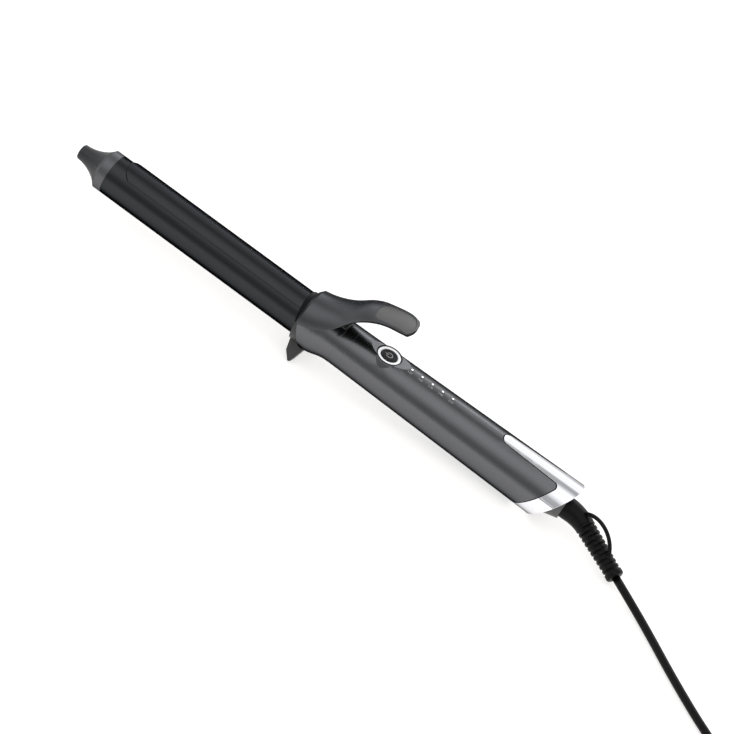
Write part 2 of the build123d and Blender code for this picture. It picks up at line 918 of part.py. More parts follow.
def make_light_ring():
    top = button_plane + seat_gap
    ring = post(button_x, 0, ring_shelf, top, ring_outer_diameter / 2)
    return ring - post(button_x, 0, 0, bell_diameter, ring_inner_diameter / 2)


def make_power_button():
    radius = button_diameter / 2
    lower = ring_shelf - move_gap
    cap = post(button_x, 0, lower - button_flange, button_plane + move_gap, radius)
    cap = fillet(cap.edges().group_by(Axis.Z)[-1], move_gap * 2)
    foot = button_plane + move_gap - groove_depth
    for inner in groove_radii:
        groove = post(button_x, 0, foot, bell_diameter, inner + groove_width)
        cap = cap - (groove - post(button_x, 0, foot, bell_diameter, inner))
    flange = post(button_x, 0, lower - button_flange, lower, radius + bezel_depth * 0.2)
    return cap + flange


def make_led_lenses():
    """Short light pipes, flush with the grip."""
    foot = board_top + light_diameter
    return [post(x, 0, foot, grip_radius(x) + pin_gap, light_diameter / 2) for x in light_x]


def make_led_chips():
    half = light_diameter / 2
    top = board_top + light_diameter - seat_gap
    return [block(x - half, x + half, -half, half, board_top, top) for x in light_x]


def make_circuit_board():
    board = block(board_x, board_x + board_length, -board_half, board_half, board_height, board_top)
    for x, y in board_screw_places:
        board = board - post(x, y, board_height, board_top, board_screw_diameter / 2 + pin_gap)
    return board


def make_board_screws():
    screws = []
    radius = board_screw_diameter / 2
    for x, y in board_screw_places:
        head = post(x, y, board_top, board_top + radius, radius * 1.8)
        screws.append(head + post(x, y, board_height - rail_depth, board_top, radius))
    return screws


def make_tact_switch():
    half = switch_size / 2
    body = block(button_x - half, button_x + half, -half, half, board_top, board_top + switch_height)
    stem_top = ring_shelf - move_gap - button_flange - button_travel - move_gap
    return body + post(button_x, 0, board_top, stem_top, switch_size / 4)


def make_board_parts():
    """The parts that switch the mains: a capacitor, a coil and a power switch under the board."""
    x = board_x + board_length * 0.3
    depth = grip_wall * 3
    capacitor = block(x, x + depth * 2, -depth * 0.7, depth * 0.7, board_height - depth, board_height)
    coil = post(x + depth * 3.6, 0, board_height - depth, board_height, depth * 0.7)
    x += depth * 4.8
    power = block(x, x + depth, -depth * 0.7, depth * 0.7, board_height - depth * 0.6, board_height)
    return [capacitor, coil, power]


# End trim, end cap and swivel
trim_bore = grip_radius(trim_x) - trim_thickness
cap_radius = trim_bore - seat_gap
flange_end_x = end_x - boot_flange_length
keeper_face_x = flange_end_x - boot_flange_length - move_gap
keeper_x = keeper_face_x - keeper_thickness
spool_end_x = keeper_face_x - spool_length
nozzle_bore = boot_diameter / 2 + move_gap / 2
flange_room = boot_flange_diameter / 2 + move_gap
keeper_radius = keeper_diameter / 2
ring_places = [spool_end_x + slip_ring_width * (0.8 + 2.0 * i) for i in range(2)]
spool_radius = spool_diameter / 2
slip_ring_radius = spool_radius + slip_ring_thickness
contact_height = slip_ring_radius + move_gap + contact_thickness / 2


def make_end_trim():
    far_x = end_x + end_slope * grip_rear_diameter
    outside = grip_solid(seam_x, far_x) - beyond(end_x, end_slope)
    band = outside - before(trim_x, end_slope)
    tongue = outside & plan_plate(tongue_outline(0.0), 0, bell_diameter)
    tongue = tongue - grip_solid(seam_x, far_x, tongue_thickness)
    return band + tongue - rod(seam_x, far_x, trim_bore)


def make_end_cap():
    start = trim_x - end_slope * trim_bore - cap_spigot
    inner = grip_radius(start) - grip_wall - seat_gap
    cap = rod(start, end_x + bell_radius, min(inner, cap_radius)) - beyond(end_x - cap_recess, end_slope)
    base = nozzle_tip_diameter / 2 + nozzle_taper * (nozzle_x - trim_x)
    nozzle = turned(
        [(trim_x, 0), (trim_x, base), (nozzle_x, nozzle_tip_diameter / 2), (nozzle_x, 0)]
    )
    cap = cap + nozzle
    cap = cap - rod(start, nozzle_x, nozzle_bore)
    cap = cap - rod(start, flange_end_x + move_gap, flange_room)
    cap = cap - rod(start, keeper_face_x, keeper_radius + seat_gap)
    for side in (-1, 1):
        y = side * (keeper_radius + flange_room) / 2
        end = keeper_face_x + boot_flange_length
        cap = cap - rod(keeper_x, end, keeper_screw_diameter / 2 + pin_gap, y=y)
    screw = handle_screw_diameter / 2 + pin_gap
    return cap - post(rear_screw_x, 0, -grip_rear_diameter, 0, screw)


def make_swivel_keeper():
    plate = rod(keeper_x, keeper_face_x, keeper_radius)
    plate = plate - rod(keeper_x, keeper_face_x, spool_radius + move_gap)
    for side in (-1, 1):
        y = side * (keeper_radius + flange_room) / 2
        plate = plate - rod(keeper_x, keeper_face_x, keeper_screw_diameter / 2 + pin_gap, y=y)
    return plate


def make_keeper_screws():
    screws = []
    radius = keeper_screw_diameter / 2
    for side in (-1, 1):
        y = side * (keeper_radius + flange_room) / 2
        head = rod(keeper_x - radius, keeper_x, radius * 1.35, y=y)
        end = keeper_face_x + boot_flange_length - seat_gap
        screws.append(head + rod(keeper_x, end, radius, y=y))
    return screws


def make_slip_rings():
    rings = []
    for x in ring_places:
        ring = rod(x, x + slip_ring_width, slip_ring_radius)
        rings.append(ring - rod(x, x + slip_ring_width, spool_radius + pin_gap))
    return rings


def make_contact_springs():
    """Two flat springs from the keeper, one over each ring."""
    half = contact_width / 2
    springs = []
    for x, side in zip(ring_places, (1, -1)):
        z0 = side * contact_height - contact_thickness / 2
        springs.append(block(x, keeper_x, -half, half, z0, z0 + contact_thickness))
    return springs


def make_mains_wires():
    """Leads from the two contacts to the rear edge of the board."""
    level = board_height + board_thickness / 2
    lead_radius = wire_diameter * 0.35
    wires = []
    for x, side in zip(ring_places, (1, -1)):
        y = side * board_half / 2
        far = board_x + board_length
        out = side * (contact_height + contact_thickness / 2 + lead_radius)
        points = [
            (x + wire_diameter, 0, out),
            (x - wire_diameter * 4, 0, out),
            (far + wire_diameter * 6, y, level),
            (far, y, level),
        ]
        path = FilletPolyline(*points, radius=wire_diameter * 2)
        wires.append(tube_along(path, lead_radius))
    return wires


# Boot, sleeve and hanging loop
turn = math.radians(sleeve_turn)
dip = math.radians(sleeve_dip)
sleeve_way = Vector(math.cos(turn) * math.cos(dip), -math.sin(turn) * math.cos(dip), -math.sin(dip))
sleeve_length = rib_count * rib_pitch + sleeve_collar_length
bend_point = Vector(bend_x, 0, 0)
sleeve_foot = bend_point + sleeve_way * sleeve_start
sleeve_end = sleeve_foot + sleeve_way * sleeve_length
loop_up = (Vector(0, 0, 1) - sleeve_way * sleeve_way.Z).normalized()
along_sleeve = Plane(origin=sleeve_foot, x_dir=sleeve_way, z_dir=sleeve_way.cross(loop_up))


def make_cord_boot():
    """Turned part inside the nozzle, then a bend that tapers to the sleeve."""
    radius = boot_diameter / 2
    taper = rib_first_diameter / 2 - radius
    bend_start = Vector(bend_x - sleeve_start, 0, 0)
    bend = TangentArc(bend_start, sleeve_foot, tangent=(1, 0, 0))
    rings = [(bend ^ (i / 4)) * Circle(radius + taper * i / 4) for i in range(5)]
    boot = rod(keeper_face_x + move_gap, bend_start.X, radius) + loft(rings)
    boot = boot + rod(keeper_face_x + move_gap, flange_end_x, boot_flange_diameter / 2)
    return boot + rod(spool_end_x, keeper_face_x + move_gap, spool_radius)


def make_bend_sleeve():
    """Ribs along X, turned into the sleeve's direction."""
    core = sleeve_core_diameter / 2
    rings = []
    for i in range(rib_count):
        x = i * rib_pitch
        share = i / (rib_count - 1)
        rib = (rib_first_diameter + (rib_last_diameter - rib_first_diameter) * share) / 2
        rings += [(x, rib), (x + rib_pitch * 0.5, rib)]
        rings += [(x + rib_pitch * 0.62, core), (x + rib_pitch * 0.88, core)]
    end = rib_count * rib_pitch
    collar = sleeve_collar_diameter / 2
    rings += [(end, collar), (end + sleeve_collar_length * 0.7, collar)]
    rings += [(end + sleeve_collar_length, collar - sleeve_collar_length * 0.2)]
    faces = [Pos(x, 0, 0) * Rot(0, 90, 0) * Circle(radius) for x, radius in rings]
    return along_sleeve * loft(faces, ruled=True)


def make_hang_loop(boot, sleeve):
    """A round bow that grows out of the boot and runs into the sleeve."""
    points = [(-loop_lead, 0), ((loop_reach - loop_lead) / 2, loop_height), (loop_reach, 0)]
    bow = ThreePointArc(*[along_sleeve.from_local_coords((x, y, 0)) for x, y in points])
    loop = tube_along(bow, loop_wire / 2) - boot - sleeve
    return loop.solids().sort_by(SortBy.VOLUME)[-1]


# Build the object
def as_list(made):
    return made if isinstance(made, list) else [made]


boot = make_cord_boot()
sleeve = make_bend_sleeve()
nodes = {
    "barrel": make_barrel(),
    "cool_tip": make_cool_tip(),
    "tip_ring": make_tip_ring(),
    "tip_screw": make_tip_screw(),
    "ceramic_heater": make_ceramic_heater(),
    "heater_carriers": make_heater_carriers(),
    "thermistor": make_thermistor(),
    "thermal_fuse": make_thermal_fuse(),
    "heater_wires": make_heater_wires(),
    "clamp_blade": make_clamp_blade(),
    "lever_insulator": make_lever_insulator(),
    "thumb_lever": make_thumb_lever(),
    "lever_rivets": make_lever_rivets(),
    "hinge_bracket": make_hinge_bracket(),
    "bracket_screws": make_bracket_screws(),
    "hinge_pin": make_hinge_pin(),
    "clamp_spring": make_clamp_spring(),
    "stand": make_stand(),
    "handle_neck": make_handle_neck(),
    "handle_body": make_handle_body(),
    "handle_screws": make_handle_screws(),
    "button_bezel": make_button_bezel(),
    "light_ring": make_light_ring(),
    "power_button": make_power_button(),
    "led_lenses": make_led_lenses(),
    "led_chips": make_led_chips(),
    "circuit_board": make_circuit_board(),
    "board_screws": make_board_screws(),
    "tact_switch": make_tact_switch(),
    "board_parts": make_board_parts(),
    "end_trim": make_end_trim(),
    "end_cap": make_end_cap(),
    "swivel_keeper": make_swivel_keeper(),
    "keeper_screws": make_keeper_screws(),
    "contact_springs": make_contact_springs(),
    "mains_wires": make_mains_wires(),
    "slip_rings": make_slip_rings(),
    "cord_boot": boot,
    "bend_sleeve": sleeve,
    "hang_loop": make_hang_loop(boot, sleeve),
}
on_the_cord = ["cord_boot", "bend_sleeve", "hang_loop"]

# Stand it on the table: the origin is under the middle of the object without its cord
tilted = {name: [Rot(0, table_tilt, 0) * s for s in as_list(made)] for name, made in nodes.items()}
rigid = [s for name, made in tilted.items() if name not in on_the_cord for s in made]
box = Compound(children=[Compound(s.solids()) for s in rigid]).bounding_box()
shift = Pos(-box.center().X, -box.center().Y, -box.min.Z)
stand_up = shift * Rot(0, table_tilt, 0)


def placed(point):
    """A point of the drawing frame, on the table."""
    return (stand_up * Pos(*point)).position


# Cord and coil
cord_start = placed(sleeve_end)
cord_way = placed(sleeve_end + sleeve_way) - cord_start
lead_points = [cord_start + cord_way * move_gap]
for dx, dy, z in cord_route:
    lead_points.append(Vector(cord_start.X + dx, cord_start.Y + dy, z))


def route_radii(points):
    """Each bend is as large as its two runs allow."""
    radii = []
    for a, b, c in zip(points, points[1:], points[2:]):
        half_turn = math.radians((b - a).get_angle(c - b)) / 2
        radii.append(0.45 * min((b - a).length, (c - b).length) / math.tan(half_turn))
    return radii


lead_radii = route_radii(lead_points)
print("cord bend radii", [round(r, 1) for r in lead_radii])
lead_path = FilletPolyline(*lead_points, radius=lead_radii)
power_cord = tube_along(lead_path, cord_radius)

coil_start = lead_points[-1]
coil_run = lead_points[-1] - lead_points[-2]
coil_heading = math.atan2(coil_run.Y, coil_run.X)
coil_angle = coil_heading - math.pi / 2
coil_middle = coil_start - Vector(math.cos(coil_angle), math.sin(coil_angle), 0) * coil_radius
layer_turns = (coil_turns - 0.5) / 2


def coil_at(turns):
    """A point of the coil: it winds in, climbs one layer in half a turn and winds out."""
    radius = coil_radius - coil_pitch * min(turns, coil_turns - turns)
    share = min(max((turns - layer_turns) * 2, 0.0), 1.0)
    climb = (1 - math.cos(share * math.pi)) / 2
    angle = coil_angle + turns * 2 * math.pi
    return Vector(
        coil_middle.X + radius * math.cos(angle),
        coil_middle.Y + radius * math.sin(angle),
        coil_start.Z + coil_pitch * climb,
    )


def coil_heading_at(turns):
    step = 0.0005
    return (coil_at(turns + step) - coil_at(turns - step)).normalized()


def winding_marks():
    """Quarter turns in each layer, with marks at both ends of the climb."""
    quarters = math.ceil(layer_turns * 4)
    inward = [layer_turns * i / quarters for i in range(quarters + 1)]
    outward = [coil_turns - t for t in reversed(inward)]
    return inward + [layer_turns + 0.25] + outward


def make_cord_coil():
    marks = winding_marks()
    flat = Vector(math.cos(coil_heading), math.sin(coil_heading), 0)
    edges = [Line(coil_start, coil_start + flat * cord_diameter)]
    places = [coil_at(t) for t in marks]
    ways = [coil_heading_at(t) for t in marks]
    drift = flat * cord_diameter
    places = [p + drift for p in places]
    ways[0] = flat
    end_angle = coil_angle + coil_turns * 2 * math.pi
    end_way = Vector(-math.sin(end_angle), math.cos(end_angle), 0)
    ways[-1] = end_way
    for p0, t0, p1, t1 in zip(places, ways, places[1:], ways[1:]):
        edges += biarc(p0, t0, p1, t1)
    plug_foot = places[-1] + end_way * coil_tail
    plug_foot = Vector(plug_foot.X, plug_foot.Y, plug_height / 2)
    edges += biarc(places[-1], end_way, plug_foot, end_way)
    edges.append(Line(plug_foot, plug_foot + end_way * cord_diameter))
    points = [e.position_at(s / 8) for e in edges for s in range(8)]
    return tube_along(Wire(edges), cord_radius), points, plug_foot + end_way * cord_diameter, end_way


def least_gap(points):
    """Least distance between turns, less the cord's diameter; near neighbours are the same turn."""
    least = math.inf
    apart = int(8 * 2 * 3)
    for i in range(len(points)):
        for j in range(i + apart, len(points)):
            least = min(least, (points[i] - points[j]).length)
    return least - cord_diameter


cord_coil, coil_points, plug_start, plug_way = make_cord_coil()
print("coil least gap", round(least_gap(coil_points), 2))
print("cord length", round(lead_path.length, 1), round(cord_coil.volume / (math.pi * cord_radius**2), 1))
lead_volume = math.pi * cord_radius**2 * lead_path.length
print("tube volume over section times length", round(power_cord.volume / lead_volume, 4))


def make_cord_tie():
    """Flat band round all the turns, on the side away from the plug."""
    angle = math.degrees(coil_angle) + tie_place
    drift = Vector(math.cos(coil_heading), math.sin(coil_heading), 0) * cord_diameter
    inner = coil_radius - coil_pitch * coil_turns / 2 - cord_radius - move_gap
    outer = coil_radius + cord_radius + move_gap
    height = coil_pitch + cord_diameter + 2 * move_gap
    foot = coil_start.Z - cord_radius - move_gap
    hole = Box(outer - inner, tie_width, height)
    band = Box(outer - inner + 2 * tie_thickness, tie_width, height + 2 * tie_thickness)
    band = fillet(band.edges().filter_by(Axis.Y), tie_thickness * 2)
    hole = fillet(hole.edges().filter_by(Axis.Y), tie_thickness)
    place = Pos(coil_middle.X + drift.X, coil_middle.Y + drift.Y, foot + height / 2) * Rot(0, 0, angle)
    return place * Pos((inner + outer) / 2, 0, 0) * (band - hole)


plug_pin_neck = plug_pin_diameter / 2 - move_gap


def plug_frame():
    """Plane at the plug's cord end: X along the plug, Y across, Z up."""
    return Plane(origin=plug_start, x_dir=plug_way, z_dir=(0, 0, 1))


def make_plug_body():
    def section(x, width, height, corner):
        face = Rot(0, 90, 0) * RectangleRounded(height, width, corner)
        return Pos(x, 0, 0) * face

    shoulder = plug_length - plug_face_length
    neck = section(0, plug_neck_width, plug_neck_height, plug_neck_height * 0.4)
    waist = section(shoulder * 0.4, plug_neck_width * 1.15, plug_neck_height * 1.1, plug_neck_height * 0.4)
    wide = section(shoulder, plug_width, plug_height, plug_height * 0.4)
    face = section(plug_length, plug_width, plug_height, plug_height * 0.4)
    body = loft([neck, waist, wide], ruled=True) + loft([wide, face], ruled=True)
    for side in (-1, 1):
        y = side * plug_pin_spacing / 2
        root = plug_length - plug_pin_root - seat_gap
        body = body - rod(root, plug_length, plug_pin_neck + pin_gap, y=y)
    return plug_frame() * body


def make_plug_pins():
    pins = []
    radius = plug_pin_diameter / 2
    for side in (-1, 1):
        y = side * plug_pin_spacing / 2
        pin = rod(plug_length, plug_length + plug_pin_length, radius, y=y)
        pin = chamfer(pin.edges().sort_by(Axis.X)[-1], radius * 0.3)
        pins.append(plug_frame() * (pin + rod(plug_length - plug_pin_root, plug_length, plug_pin_neck, y=y)))
    return pins


def plug_pin_place(side):
    """Middle of a pin's free end."""
    return plug_frame().from_local_coords((plug_length + plug_pin_length / 2, side * plug_pin_spacing / 2, 0))


def save(name, solids):
    """Write one node's solids."""
    parts = [s for made in solids for s in made.solids()]
    shape = parts[0] if len(parts) == 1 else Compound(parts)
    export_step(shape, f"parts/{name}.step")


for name, made in tilted.items():
    save(name, [shift * s for s in made])
save("power_cord", [power_cord])
save("cord_coil", [cord_coil])
save("cord_tie", [make_cord_tie()])
save("plug_body", [make_plug_body()])
save("plug_pins", make_plug_pins())

# Places that the joints and mounts need, on the table
print("tilt", round(table_tilt, 4))
print("hinge", placed((pin_x, 0, pin_height)))
print("button", placed((button_x, 0, button_plane)), placed((button_x, 0, button_plane - 1)))
print("swivel", placed((bend_x, 0, 0)), placed((bend_x + 1, 0, 0)))
print("cord start", cord_start)
toe_side = math.tan(math.radians(leg_angle)) * toe_drop
print("toe", placed((toe_x, -toe_side, -toe_drop)))
rest_under = lever_stations[-3][3] - lever_stations[-3][5]
print("lever gap", placed((hood_x + lever_stations[-3][0], 0, (button_plane + rest_under) / 2)))
loop_middle = ((loop_reach - loop_lead) / 2, (loop_height + rib_first_diameter / 2) / 2, 0)
print("loop middle", placed(along_sleeve.from_local_coords(loop_middle)))
print("pins", plug_pin_place(-1), plug_pin_place(1))
print("plug", plug_start, plug_way)
print("coil middle", coil_middle)
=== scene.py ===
"""Looks of a curling iron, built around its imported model. Metres, Z up, the table at zero."""

import json
import math

import bpy
from mathutils import Matrix, Vector


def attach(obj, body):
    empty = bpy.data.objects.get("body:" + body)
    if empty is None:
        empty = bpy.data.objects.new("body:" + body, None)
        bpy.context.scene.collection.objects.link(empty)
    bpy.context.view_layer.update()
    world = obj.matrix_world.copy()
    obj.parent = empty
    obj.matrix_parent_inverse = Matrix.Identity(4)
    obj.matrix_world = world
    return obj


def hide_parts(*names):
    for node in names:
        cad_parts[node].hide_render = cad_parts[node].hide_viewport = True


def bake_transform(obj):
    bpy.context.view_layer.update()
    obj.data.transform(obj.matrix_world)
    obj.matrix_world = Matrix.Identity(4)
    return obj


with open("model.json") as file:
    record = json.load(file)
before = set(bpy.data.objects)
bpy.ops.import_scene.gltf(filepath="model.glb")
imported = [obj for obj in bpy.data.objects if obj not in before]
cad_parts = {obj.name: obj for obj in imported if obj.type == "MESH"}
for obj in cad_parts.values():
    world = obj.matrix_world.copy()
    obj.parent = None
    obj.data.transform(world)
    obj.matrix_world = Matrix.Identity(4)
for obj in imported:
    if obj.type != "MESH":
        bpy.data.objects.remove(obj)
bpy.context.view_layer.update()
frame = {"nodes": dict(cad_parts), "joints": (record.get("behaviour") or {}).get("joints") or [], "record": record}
nodes = frame["nodes"]
joints = {joint["name"]: joint for joint in frame["joints"]}

# The camera: its image width in pixels, its lens, and where it looks from
IMAGE_WIDTH = 733
SENSOR_WIDTH = 36.0
FOCAL_PIXELS = 2941.4
CAMERA_AZIMUTH = math.radians(12.03)
CAMERA_ELEVATION = math.radians(38.02)
CAMERA_ROLL = math.radians(26.86)
CAMERA_DISTANCE = 1.6462
CAMERA_TARGET = Vector((0.03255, 0.0, 0.01683))

# The cord, as it is routed in the model
CORD_DIAMETER = 0.0047
CORD_START = Vector((0.213718, -0.015946, 0.006177))
CORD_ROUTE = [
    (0.0150, -0.0076, 0.0036),
    (0.0330, -0.0196, 0.0025),
    (0.0570, -0.0385, 0.0025),
    (0.0850, -0.0585, 0.0025),
    (0.1120, -0.0748, 0.00355),
    (0.1312, -0.0873, 0.00355),
]
COIL_RADIUS = 0.039
COIL_TURNS = 8.3417
COIL_PITCH = 0.0052
COIL_TAIL = 0.022
COIL_POINTS_PER_TURN = 24
PLUG_HEIGHT = 0.0137
CORD_STEPS_PER_POINT = 5

# Stations along the barrel's axis from its tip, and sizes of the model that details follow
SWIVEL_STATION = 0.3501
PIN_STATION = 0.1741
PIN_HEIGHT = 0.0156
SPRING_RADIUS = 0.0019
SPRING_WIDTH = 0.0084
SPRING_WIRE = 0.0008
SPRING_TURN = math.radians(2210)
SPRING_LEAD = 0.0032
SPRING_TAIL = 0.0052
BUTTON_STATION = 0.2130
BUTTON_TOP = 0.0127
LIGHT_STATION = 0.2282
LIGHT_PITCH = 0.0070
SEAM_STATION = 0.1925
GRIP_RADIUS = 0.0135
GRIP_TAPER = 0.0149
SCREW_STATIONS = (0.1965, 0.3055)
PAD_STATION = 0.1991
PAD_HALF_WIDTH = 0.0080
GROOVE_STATION = 0.2600
GROOVE_DEPTH = 0.0003
SLEEVE_TURN = math.radians(23.7)
SLEEVE_DIP = math.radians(9.3)
SLEEVE_LEAD = 0.0062
RIB_COUNT = 10
RIB_PITCH = 0.00305
RIB_FIRST_RADIUS = 0.00575
RIB_LAST_RADIUS = 0.0050
SLEEVE_CORE_RADIUS = 0.0041
SLEEVE_COLLAR_RADIUS = 0.0052
SLEEVE_COLLAR_LENGTH = 0.0035

# Facets of the round meshes, and the angle up to which faces shade as one surface
CORD_SIDES = 20
SPRING_SIDES = 10
SPRING_STEPS = 150
SLEEVE_SIDES = 64
SMOOTH_ANGLE = math.radians(30)
SLEEVE_SMOOTH_ANGLE = math.radians(50)

# The ribs' profile: share of the pitch, then how many edge widths the groove and its web lie under the rib.
# None stands for the sleeve's core
RIB_EDGE = RIB_PITCH * 0.05
RIB_PROFILE = [
    (0.00, 1, 1),
    (0.05, 0, 0),
    (0.46, 0, 0),
    (0.52, 2, 1),
    (0.57, None, 2),
    (0.93, None, 2),
    (0.98, 3, 1),
]
WEB_START = 0.80
WEB_SLOPE = 0.12

# Printed signs, and the crosses in the screw heads painted as shade
SIGN_RADIUS = 0.0019
SIGN_STROKE = 0.00045
SIGN_OPENING = math.radians(38)
SIGN_STEPS = 40
SIGN_LIFT = 0.00003
TEMPERATURES = ("130", "150", "170", "190", "210")
NUMBER_HEIGHT = 0.0021
NUMBER_OFFSET = 0.0030
NUMBER_LIFT = 0.00004
CROSS_REACH = 0.0013
CROSS_HALF_WIDTH = 0.00032
CROSS_SINK = 0.00007

# Paint and plastic
EDGE_RADIUS = 0.00025
LEVER_EDGE_RADIUS = 0.0007
FLAKE_SCALE = 5200
FLAKE_DEPTH = 0.000006
FLAKE_SPREAD = 0.16
MOTTLE_SCALE = 70
NOISE_LOW = 0.3
NOISE_HIGH = 0.7
LEVER_ROUGHNESS = 0.34
LEVER_SLANT_TINT = (0.2, 0.2, 0.2, 1)
# How far a lever face turns in towards the barrel's axis before it takes the painted shade of the inner side
LEVER_SHADE_FACING = -0.35
PAD_ROUGHNESS = 0.46
PAD_FACING = 0.4
PAD_SPREAD = 0.10
GRIP_COLOUR = (0.137, 0.139, 0.145)
# Near black deep in the groove before the trim: partly bare plastic, partly painted shade in the groove
GROOVE_BARE_AND_SHADE_COLOUR = (0.004, 0.004, 0.004)
LEVER_COLOUR = (0.094, 0.096, 0.101)
# The lever's inner side: partly bare plastic, partly painted shade under the lever
LEVER_INNER_SHADE_COLOUR = (0.006, 0.006, 0.007)
PAD_COLOUR = (0.150, 0.149, 0.148)

# The table and the studio
TABLE_HALF = 6.0
TABLE_COLOUR = (0.62, 0.605, 0.58, 1)
TABLE_GLOW = 0.64
SKY_TINT = (0.985, 0.99, 1.0)

button_axis = Vector(joints["button_press"]["axis"])
iron_up = -button_axis.normalized()
iron_along = Vector((0, 1, 0)).cross(iron_up).normalized()
swivel_place = Vector(joints["cord_swivel"]["pos_m"])


def on_iron(x, y, z):
    """A point given along the barrel's axis, across it, and towards the button."""
    return swivel_place + iron_along * (x - SWIVEL_STATION) + Vector((0, y, 0)) + iron_up * z


def grip_radius(x):
    return GRIP_RADIUS + (x - SEAM_STATION) * GRIP_TAPER


# Small helpers
def link(obj):
    bpy.context.scene.collection.objects.link(obj)
    return obj


def mesh_object(name, verts, faces, smooth=True):
    mesh = bpy.data.meshes.new(name)
    mesh.from_pydata([tuple(v) for v in verts], [], faces)
    mesh.update()
    if smooth:
        mesh.shade_smooth()
    return link(bpy.data.objects.new(name, mesh))


def rings_mesh(name, rings):
    """Skin over rings of equally many points, with flat caps."""
    sides = len(rings[0])
    verts = [point for ring in rings for point in ring]
    faces = []
    for i in range(len(rings) - 1):
        for k in range(sides):
            a = i * sides + k
            b = i * sides + (k + 1) % sides
            faces.append((a, b, b + sides, a + sides))
    last = (len(rings) - 1) * sides
    faces.append(tuple(reversed(range(sides))))
    faces.append(tuple(last + k for k in range(sides)))
    return mesh_object(name, verts, faces)


def tube_mesh(name, points, radius, sides):
    """Round tube with flat ends along the points, turned as little as possible from ring to ring."""
    rings = []
    side = None
    count = len(points)
    for i, point in enumerate(points):
        ahead = points[min(i + 1, count - 1)]
        behind = points[max(i - 1, 0)]
        way = (ahead - behind).normalized()
        if side is None:
            side = way.orthogonal().normalized()
        side = (side - way * side.dot(way)).normalized()
        other = way.cross(side)
        ring = []
        for k in range(sides):
            angle = 2 * math.pi * k / sides
            ring.append(point + (side * math.cos(angle) + other * math.sin(angle)) * radius)
        rings.append(ring)
    return rings_mesh(name, rings)


# Materials. Each has its own grain, so that no surface is one flat colour
def new_material(name):
    material = bpy.data.materials.new(name)
    material.use_nodes = True
    tree = material.node_tree
    return material, tree, tree.nodes["Principled BSDF"]


def noise(tree, scale, detail=2.0):
    """A noise field in the object's own metres."""
    coordinates = tree.nodes.new("ShaderNodeTexCoord")
    texture = tree.nodes.new("ShaderNodeTexNoise")
    texture.inputs["Scale"].default_value = scale
    texture.inputs["Detail"].default_value = detail
    tree.links.new(coordinates.outputs["Object"], texture.inputs["Vector"])
    return texture.outputs["Fac"]


def grade(tree, field, low, high, socket):
    """Spreads a field between two values into a socket."""
    span = tree.nodes.new("ShaderNodeMapRange")
    span.inputs["From Min"].default_value = NOISE_LOW
    span.inputs["From Max"].default_value = NOISE_HIGH
    span.inputs["To Min"].default_value = low
    span.inputs["To Max"].default_value = high
    tree.links.new(field, span.inputs["Value"])
    tree.links.new(span.outputs["Result"], socket)


def tint(tree, field, colour, spread, socket):
    """Varies a colour a little, lighter and darker, with a field."""
    ramp = tree.nodes.new("ShaderNodeValToRGB")
    darker, lighter = ramp.color_ramp.elements
    darker.position = NOISE_LOW
    darker.color = (*[c * (1 - spread) for c in colour], 1)
    lighter.position = NOISE_HIGH
    lighter.color = (*[c * (1 + spread) for c in colour], 1)
    tree.links.new(field, ramp.inputs["Fac"])
    tree.links.new(ramp.outputs["Color"], socket)


def arithmetic(tree, operation, first, second=0.0):
    """One arithmetic node over sockets or plain numbers."""
    node = tree.nodes.new("ShaderNodeMath")
    node.operation = operation
    for socket, value in zip(node.inputs, (first, second)):
        if isinstance(value, float):
            socket.default_value = value
        else:
            tree.links.new(value, socket)
    return node.outputs[0]


def bump(tree, field, depth, bsdf, edge_radius=EDGE_RADIUS):
    """Raises the surface by a field, depth in metres, over edges that shine as if slightly rounded."""
    rounded = tree.nodes.new("ShaderNodeBevel")
    rounded.samples = 4
    rounded.inputs["Radius"].default_value = edge_radius
    node = tree.nodes.new("ShaderNodeBump")
    tree.links.new(rounded.outputs["Normal"], node.inputs["Normal"])
    node.inputs["Strength"].default_value = 0.5
    node.inputs["Distance"].default_value = depth
    tree.links.new(field, node.inputs["Height"])
    tree.links.new(node.outputs["Normal"], bsdf.inputs["Normal"])


def surface(
    name, colour, roughness, metallic=0.0, spread=0.06, grain=1800, depth=0.00001, specular=0.5, edge=1.0
):
    """A moulded, painted or metal surface with fine grain; edge is how bright a metal is at a slant."""
    material, tree, bsdf = new_material(name)
    fine = noise(tree, grain)
    broad = noise(tree, grain / 40, 4.0)
    tint(tree, broad, colour, spread, bsdf.inputs["Base Color"])
    grade(tree, fine, roughness * 0.92, roughness * 1.08, bsdf.inputs["Roughness"])
    bump(tree, fine, depth, bsdf)
    bsdf.inputs["Metallic"].default_value = metallic
    bsdf.inputs["Specular IOR Level"].default_value = specular
    bsdf.inputs["Specular Tint"].default_value = (edge, edge, edge, 1)
    return material


def iron_parts(tree, vector, start):
    """Fields of a vector's parts from a start: along the barrel's axis, across it, towards the button."""
    fields = []
    for way in (iron_along, Vector((0, 1, 0)), iron_up):
        dot = tree.nodes.new("ShaderNodeVectorMath")
        dot.operation = "DOT_PRODUCT"
        dot.inputs[1].default_value = way
        tree.links.new(vector, dot.inputs[0])
        fields.append(arithmetic(tree, "SUBTRACT", dot.outputs["Value"], way.dot(start)))
    return fields


def length_of(tree, first, second):
    """Field of the length of two fields taken at right angles."""
    squares = [arithmetic(tree, "POWER", field, 2.0) for field in (first, second)]
    return arithmetic(tree, "SQRT", arithmetic(tree, "ADD", *squares))


